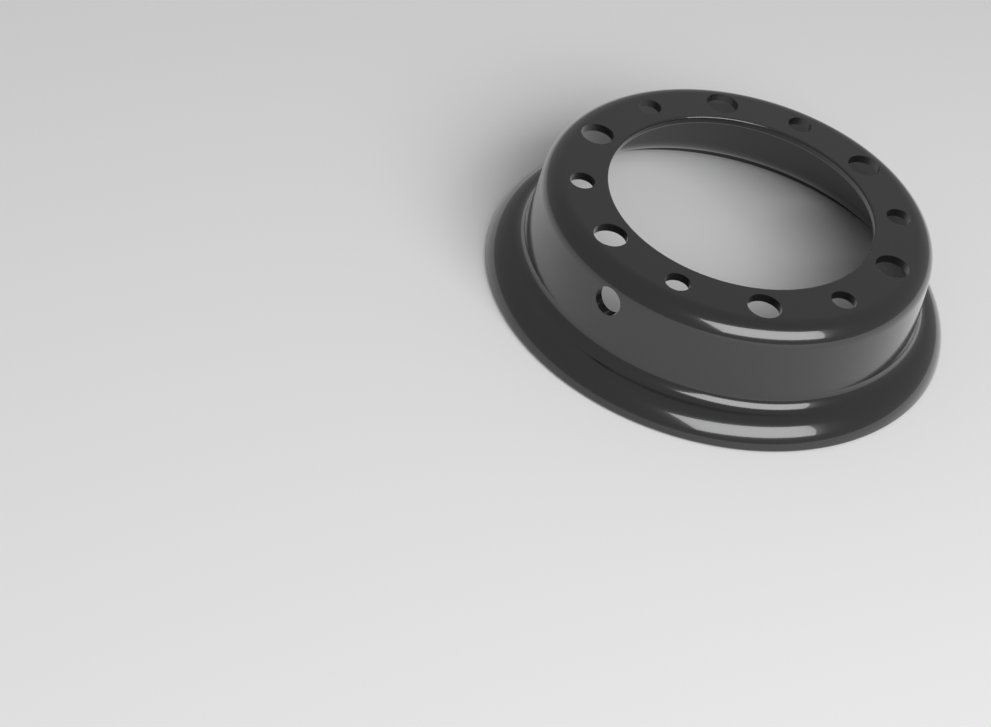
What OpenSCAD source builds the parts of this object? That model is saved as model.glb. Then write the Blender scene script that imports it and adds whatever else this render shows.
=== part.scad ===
// One half of a divided wheel rim for a forklift truck, pressed from steel plate.
// Two such halves are bolted together, mating face to mating face, round a tyre.
// Origin: centre of the bore, in the plane of the mating face. +Z points out of
// that face, so the pressing hangs below it and stands on the end of its lip.
// The sizes start at the bore and go outward: each hole circle, wall and flange
// is placed by the metal left between it and what lies inside it.

/* [Plate] */
// Thickness of the steel plate that the half is pressed from
plate_t = 6.5; // [5:0.5:8]

/* [Disc] */
// Diameter of the centre bore, which passes over the wheel hub
bore_d = 205; // [150:1:320]
// Radius of the rounded edges of the centre bore
bore_edge_r = 1.5; // [0.5:0.25:2]
// Outside radius of the corner between the disc and the wall
corner_r = 16.5; // [13:0.5:18]

/* [Bolt holes] */
// Number of holes in each of the two sets
hole_count = 6; // [4:1:8]
// Diameter of the holes for the wheel studs
stud_hole_d = 25.5; // [20:0.5:27]
// Diameter of the holes for the bolts that clamp the two halves
clamp_hole_d = 19; // [14:0.5:22]
// Metal left between the bore and the stud holes
bore_land = 7.25; // [4:0.25:16]
// Chamfer on the back edge of every bolt hole, under nut or bolt head
hole_chamfer = 0.8; // [0.4:0.1:1.2]
// Direction of the first stud hole, in degrees from +X
first_stud_angle = 30; // [0:1:60]

/* [Bead seat] */
// Metal left between the stud holes and the outside of the wall
wall_land = 15.75; // [14:0.25:24]
// Taper of the bead seat, in degrees from the axis
seat_taper = 5; // [3:0.5:6]
// Radius of the hollow between the bead seat and the flange, where the flange
// is high enough for it
seat_fillet_r = 11; // [6:0.5:12]

/* [Flange] */
// Height of the flange over the wall's outside at the corner
flange_rise = 29.5; // [26:0.5:36]
// Depth of the half, from the mating face to the end of the lip
depth = 88; // [82:0.5:96]
// Lean of the flange face away from the tyre, in degrees from the radial plane
flange_lean = 13; // [8:1:20]
// Outside radius of the flange's outward curl
curl_r = 22.5; // [18:0.5:24]
// Angle that the lip still keeps from the axial direction at its end
lip_flare = 10; // [5:1:20]
// Radius of the two rounded edges of the lip's end
lip_edge_r = 2; // [1:0.25:2.25]

/* [Valve hole] */
// Diameter of the valve hole through the wall
valve_hole_d = 22; // [14:0.5:24]
// Depth of the valve hole's centre below the mating face
valve_hole_depth = 23.5; // [20:0.5:34]
// Angle from the nearest stud hole to the valve hole
valve_hole_offset = 15; // [5:1:25]

/* [Hidden] */

// Segments of the turned surfaces
turn_fn = 180;
// Degrees between two points of an arc in the section
arc_step = 7.5;
// How far a cutting tool runs past the surface that it cuts
overrun = 1;

// Radii from the bore outward
bore_r = bore_d / 2;
pitch_r = bore_r + bore_land + stud_hole_d / 2;
wall_r = pitch_r + stud_hole_d / 2 + wall_land;
flange_r = wall_r + flange_rise;

// Angle of the flange's outward normal on the tyre side, from the radial direction
flange_angle = 90 - flange_lean;

// Unit vector at an angle in the section, where x is the radius and y the height
function dir(a) = [cos(a), sin(a)];
// Points of an arc about c, from angle a0 to angle a1. With from = 1 it leaves out
// its first point, where the arc before it already ends.
function arc(c, r, a0, a1, from = 0) =
    let (n = max(2, ceil(abs(a1 - a0) / arc_step)))
    [for (i = [from : n]) c + r * dir(a0 + (a1 - a0) * i / n)];
// Point where the line with normal angle a at distance p from the origin
// crosses the line with normal angle b at distance q
function crossing(a, p, b, q) =
    [p * sin(b) - q * sin(a), q * cos(a) - p * cos(b)] / sin(b - a);

// Centre of the corner between disc and wall
corner_c = [wall_r - corner_r, -corner_r];

// Tangent point on the tyre side where the lip's edge rounding starts
lip_end = [
    flange_r - lip_edge_r * (1 - cos(lip_flare)),
    -depth + (plate_t - lip_edge_r) * sin(lip_flare) + lip_edge_r
];
lip_outer_c = lip_end - lip_edge_r * dir(lip_flare);
lip_inner_c = lip_end - (plate_t - lip_edge_r) * dir(lip_flare);

// Centre of the curl, tangent to the end of the lip
curl_c = lip_end - curl_r * dir(lip_flare);

// Bead seat and flange face as straight lines, and the knee where they cross
seat_line = corner_c * dir(seat_taper) + corner_r;
flange_line = curl_c * dir(flange_angle) + curl_r;
knee = crossing(seat_taper, seat_line, flange_angle, flange_line);

// Radius of the hollow, limited by the stretch of flange between knee and curl
flange_stretch = norm(curl_c + curl_r * dir(flange_angle) - knee);
fillet_r = min(seat_fillet_r, flange_stretch / tan((flange_angle - seat_taper) / 2));
// Centre of the hollow, tangent to the bead seat and to the flange face
fillet_c = crossing(
    seat_taper, seat_line + fillet_r,
    flange_angle, flange_line + fillet_r
);

// Section of the plate, from the bore round the tyre side and back inside
section = concat(
    arc([bore_r + bore_edge_r, -bore_edge_r], bore_edge_r, 180, 90),
    arc(corner_c, corner_r, 90, seat_taper),
    arc(fillet_c, fillet_r, 180 + seat_taper, 180 + flange_angle),
    arc(curl_c, curl_r, flange_angle, lip_flare),
    arc(lip_outer_c, lip_edge_r, lip_flare, lip_flare - 90, from = 1),
    arc(lip_inner_c, lip_edge_r, lip_flare - 90, lip_flare - 180),
    arc(curl_c, curl_r - plate_t, lip_flare, flange_angle, from = 1),
    arc(fillet_c, fillet_r + plate_t, 180 + flange_angle, 180 + seat_taper),
    arc(corner_c, corner_r - plate_t, seat_taper, 90),
    arc([bore_r + bore_edge_r, bore_edge_r - plate_t], bore_edge_r, 270, 180)
);

// Centre of the valve hole on the outside of the wall
valve_hole_angle = first_stud_angle + 180 + valve_hole_offset;

// Pressing without its holes
module pressing() {
    rotate_extrude($fn = turn_fn) polygon(section);
}

// Through hole with a chamfer at the back of the disc
module bolt_hole(d) {
    translate([0, 0, -plate_t - overrun])
        cylinder(d = d, h = plate_t + 2 * overrun, $fn = 64);
    translate([0, 0, -plate_t - overrun])
        cylinder(d1 = d + 2 * (hole_chamfer + overrun), d2 = d, h = hole_chamfer + overrun, $fn = 64);
}

// One set of holes on the pitch circle, the first of them at the given angle
module hole_set(d, first_angle) {
    for (i = [0 : hole_count - 1])
        rotate(first_angle + i * 360 / hole_count)
            translate([pitch_r, 0, 0]) bolt_hole(d);
}

// Radial hole through one side of the wall
module valve_hole() {
    rotate(valve_hole_angle)
        translate([corner_c[0] - overrun, 0, -valve_hole_depth])
            rotate([0, 90, 0])
                cylinder(d = valve_hole_d, h = flange_r - corner_c[0], $fn = 64);
}

module rim_half() {
    color([0.03, 0.03, 0.035])
        difference() {
            pressing();
            hole_set(stud_hole_d, first_stud_angle);
            hole_set(clamp_hole_d, first_stud_angle + 180 / hole_count);
            valve_hole();
        }
}

rim_half();
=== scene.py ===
import math

import bpy
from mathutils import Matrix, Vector


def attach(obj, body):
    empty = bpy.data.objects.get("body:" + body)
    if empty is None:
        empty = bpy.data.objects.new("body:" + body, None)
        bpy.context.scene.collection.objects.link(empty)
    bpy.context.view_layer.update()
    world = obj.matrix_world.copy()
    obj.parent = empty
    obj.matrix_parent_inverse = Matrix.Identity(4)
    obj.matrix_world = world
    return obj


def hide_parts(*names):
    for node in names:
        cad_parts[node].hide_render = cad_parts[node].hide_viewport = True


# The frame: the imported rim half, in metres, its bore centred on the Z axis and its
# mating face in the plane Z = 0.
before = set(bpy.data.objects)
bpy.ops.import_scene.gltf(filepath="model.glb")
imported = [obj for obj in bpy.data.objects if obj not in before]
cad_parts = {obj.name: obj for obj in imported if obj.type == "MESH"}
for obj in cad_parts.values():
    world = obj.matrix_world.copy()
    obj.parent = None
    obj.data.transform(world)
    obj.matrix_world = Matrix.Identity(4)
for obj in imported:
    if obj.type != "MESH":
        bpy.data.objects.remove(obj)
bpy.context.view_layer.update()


# Rim half: one pressing of steel plate, drawn into a flat disc, a tapered wall for the
# tyre bead and a flange that curls outward to its lip. The section is drawn point by
# point in the XZ plane and spun round the wheel axis.
PLATE = 0.0065
BORE_R = 0.1025
BORE_EDGE_R = 0.0015
CORNER_R = 0.0165
WALL_R = 0.151
SEAT_TAPER = 5.0
HOLLOW_R = 0.011
FLANGE_R = 0.1805
DEPTH = 0.088
FLANGE_ANGLE = 77.0
CURL_R = 0.0225
LIP_FLARE = 10.0
LIP_EDGE_R = 0.002
TURN_STEPS = 288
ARC_STEP = 4.0
SUPPORT = 0.0003


def direction(angle):
    """Unit vector at an angle in degrees in the section, with x the radius and y the height."""
    return Vector((math.cos(math.radians(angle)), math.sin(math.radians(angle))))


def arc(centre, radius, start, end):
    """Points of an arc of the section, from one angle to another, both ends included."""
    steps = max(2, math.ceil(abs(end - start) / ARC_STEP))
    return [centre + radius * direction(start + (end - start) * i / steps) for i in range(steps + 1)]


def crossing(angle_a, reach_a, angle_b, reach_b):
    """Point where two lines cross, each given by its normal's angle and its distance from the origin."""
    a = math.radians(angle_a)
    b = math.radians(angle_b)
    x = reach_a * math.sin(b) - reach_b * math.sin(a)
    y = reach_b * math.cos(a) - reach_a * math.cos(b)
    return Vector((x, y)) / math.sin(b - a)


corner = Vector((WALL_R - CORNER_R, -CORNER_R))
lip_end = Vector((
    FLANGE_R - LIP_EDGE_R * (1 - math.cos(math.radians(LIP_FLARE))),
    -DEPTH + (PLATE - LIP_EDGE_R) * math.sin(math.radians(LIP_FLARE)) + LIP_EDGE_R,
))
lip_outer = lip_end - LIP_EDGE_R * direction(LIP_FLARE)
lip_inner = lip_end - (PLATE - LIP_EDGE_R) * direction(LIP_FLARE)
curl = lip_end - CURL_R * direction(LIP_FLARE)
seat_reach = corner.dot(direction(SEAT_TAPER)) + CORNER_R
flange_reach = curl.dot(direction(FLANGE_ANGLE)) + CURL_R
hollow = crossing(SEAT_TAPER, seat_reach + HOLLOW_R, FLANGE_ANGLE, flange_reach + HOLLOW_R)

# Each bend ends in a point a little way along the straight beside it, which keeps the
# flat disc and the straight wall free of the bend's shading.
along_seat = SUPPORT * direction(SEAT_TAPER - 90)
section = arc(Vector((BORE_R + BORE_EDGE_R, -BORE_EDGE_R)), BORE_EDGE_R, 180, 90)
section += [Vector((BORE_R + BORE_EDGE_R + SUPPORT, 0)), Vector((corner.x - SUPPORT, 0))]
section += arc(corner, CORNER_R, 90, SEAT_TAPER)
section += [section[-1] + along_seat]
outer_hollow = arc(hollow, HOLLOW_R, 180 + SEAT_TAPER, 180 + FLANGE_ANGLE)
section += [outer_hollow[0] - along_seat] + outer_hollow
section += arc(curl, CURL_R, FLANGE_ANGLE, LIP_FLARE)
section += arc(lip_outer, LIP_EDGE_R, LIP_FLARE, LIP_FLARE - 90)[1:]
section += arc(lip_inner, LIP_EDGE_R, LIP_FLARE - 90, LIP_FLARE - 180)
section += arc(curl, CURL_R - PLATE, LIP_FLARE, FLANGE_ANGLE)[1:]
inner_hollow = arc(hollow, HOLLOW_R + PLATE, 180 + FLANGE_ANGLE, 180 + SEAT_TAPER)
section += inner_hollow + [inner_hollow[-1] - along_seat]
inner_corner = arc(corner, CORNER_R - PLATE, SEAT_TAPER, 90)
section += [inner_corner[0] + along_seat] + inner_corner
section += [Vector((corner.x - SUPPORT, -PLATE)), Vector((BORE_R + BORE_EDGE_R + SUPPORT, -PLATE))]
section += arc(Vector((BORE_R + BORE_EDGE_R, BORE_EDGE_R - PLATE)), BORE_EDGE_R, 270, 180)

bpy.ops.object.select_all(action="DESELECT")
bpy.ops.mesh.primitive_plane_add(size=0.001, location=(section[0].x, 0, section[0].y))
pressing = bpy.context.object
pressing.name = "pressing"
bpy.ops.object.mode_set(mode="EDIT")
bpy.ops.mesh.merge(type="CENTER")
for here, there in zip(section, section[1:]):
    step = there - here
    bpy.ops.mesh.extrude_vertices_move(TRANSFORM_OT_translate={"value": (step.x, 0, step.y)})
bpy.ops.mesh.select_all(action="SELECT")
bpy.ops.mesh.edge_face_add()
bpy.ops.mesh.delete(type="ONLY_FACE")
bpy.ops.mesh.select_all(action="SELECT")
bpy.ops.mesh.spin(steps=TURN_STEPS, angle=math.tau, center=(0, 0, 0), axis=(0, 0, 1))
bpy.ops.mesh.select_all(action="SELECT")
bpy.ops.mesh.remove_doubles(threshold=0.00001)
bpy.ops.mesh.normals_make_consistent(inside=False)
bpy.ops.object.mode_set(mode="OBJECT")
bpy.ops.object.transform_apply(location=True, rotation=True, scale=True)
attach(pressing, "root")
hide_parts("rim_half")


# Bolt holes: six larger ones for the wheel studs and six smaller ones for the bolts
# that clamp two halves together, punched in turn on one pitch circle.
PITCH_R = 0.1225
STUD_HOLE_R = 0.01275
CLAMP_HOLE_R = 0.0095
FIRST_STUD = 30
PUNCH_STEPS = 72
PUNCH_LENGTH = 0.03
cutters = []
for i in range(12):
    turn = math.radians(FIRST_STUD + 30 * i)
    radius = CLAMP_HOLE_R if i % 2 else STUD_HOLE_R
    bpy.ops.mesh.primitive_cylinder_add(
        vertices=PUNCH_STEPS, radius=radius, depth=PUNCH_LENGTH,
        location=(PITCH_R * math.cos(turn), PITCH_R * math.sin(turn), -PLATE / 2),
    )
    cutters.append(bpy.context.object)

# Valve hole: drilled through the wall beside a stud hole, for the stem of the tube.
VALVE_HOLE_R = 0.011
VALVE_HOLE_Z = -0.0235
VALVE_HOLE_TURN = math.radians(225)
VALVE_PUNCH_LENGTH = 0.04
CREASE = math.radians(12)
bpy.ops.mesh.primitive_cylinder_add(
    vertices=PUNCH_STEPS, radius=VALVE_HOLE_R, depth=VALVE_PUNCH_LENGTH,
    location=(WALL_R * math.cos(VALVE_HOLE_TURN), WALL_R * math.sin(VALVE_HOLE_TURN), VALVE_HOLE_Z),
    rotation=(0, math.radians(90), VALVE_HOLE_TURN),
)
cutters.append(bpy.context.object)

bpy.ops.object.select_all(action="DESELECT")
for cutter in cutters:
    cutter.select_set(True)
bpy.context.view_layer.objects.active = cutters[0]
bpy.ops.object.join()
punch = bpy.context.object
bpy.ops.object.select_all(action="DESELECT")
pressing.select_set(True)
bpy.context.view_layer.objects.active = pressing
holes = pressing.modifiers.new("holes", "BOOLEAN")
holes.operation = "DIFFERENCE"
holes.solver = "EXACT"
holes.object = punch
bpy.ops.object.modifier_apply(modifier=holes.name)
bpy.data.objects.remove(punch)
bpy.ops.object.shade_smooth_by_angle(angle=CREASE)


# Paint: black paint under a glossy clear coat, over the whole pressing.
paint = bpy.data.materials.new("gloss_black_paint")
paint.use_nodes = True
nodes = paint.node_tree.nodes
links = paint.node_tree.links
shader = nodes["Principled BSDF"]
shader.inputs["Base Color"].default_value = (0.012, 0.012, 0.013, 1)
shader.inputs["Roughness"].default_value = 0.2
shader.inputs["Coat Weight"].default_value = 1.0
shader.inputs["Coat Roughness"].default_value = 0.03
pressing.data.materials.clear()
pressing.data.materials.append(paint)


# Floor: a plain pale sheet under the lip.
bpy.ops.mesh.primitive_plane_add(size=6, location=(0, 0, -DEPTH))
floor = bpy.context.object
floor.name = "floor"
bpy.ops.object.transform_apply(location=True, rotation=True, scale=True)
floor_paper = bpy.data.materials.new("floor_paper")
floor_paper.use_nodes = True
floor_paper.node_tree.nodes["Principled BSDF"].inputs["Base Color"].default_value = (0.85, 0.85, 0.85, 1)
floor_paper.node_tree.nodes["Principled BSDF"].inputs["Roughness"].default_value = 0.9
floor.data.materials.append(floor_paper)

# Camera: at the photograph's place and tilt.
lens = bpy.data.cameras.new("camera")
lens.lens = 75.34
lens.sensor_width = 36
lens.clip_start = 0.01
camera = bpy.data.objects.new("camera", lens)
camera.location = (-0.39658, -1.21923, 0.90573)
camera.rotation_euler = (math.radians(47.828), math.radians(-9.920), math.radians(-2.350))
bpy.context.collection.objects.link(camera)
bpy.context.scene.camera = camera

# Light: one large soft lamp on the camera's side and a dim world.
key_light = bpy.data.lights.new("key", "AREA")
key_light.shape = "RECTANGLE"
key_light.size = 3
key_light.size_y = 2
key_light.energy = 90
key = bpy.data.objects.new("key", key_light)
key.location = (0.8, -2.2, 1.9)
key.rotation_euler = (Vector((0, 0, 0)) - key.location).to_track_quat("-Z", "Y").to_euler()
bpy.context.collection.objects.link(key)

world = bpy.data.worlds.new("world")
world.use_nodes = True
world.node_tree.nodes["Background"].inputs["Color"].default_value = (0.3, 0.3, 0.3, 1)
bpy.context.scene.world = world
bpy.context.scene.view_settings.view_transform = "Standard"
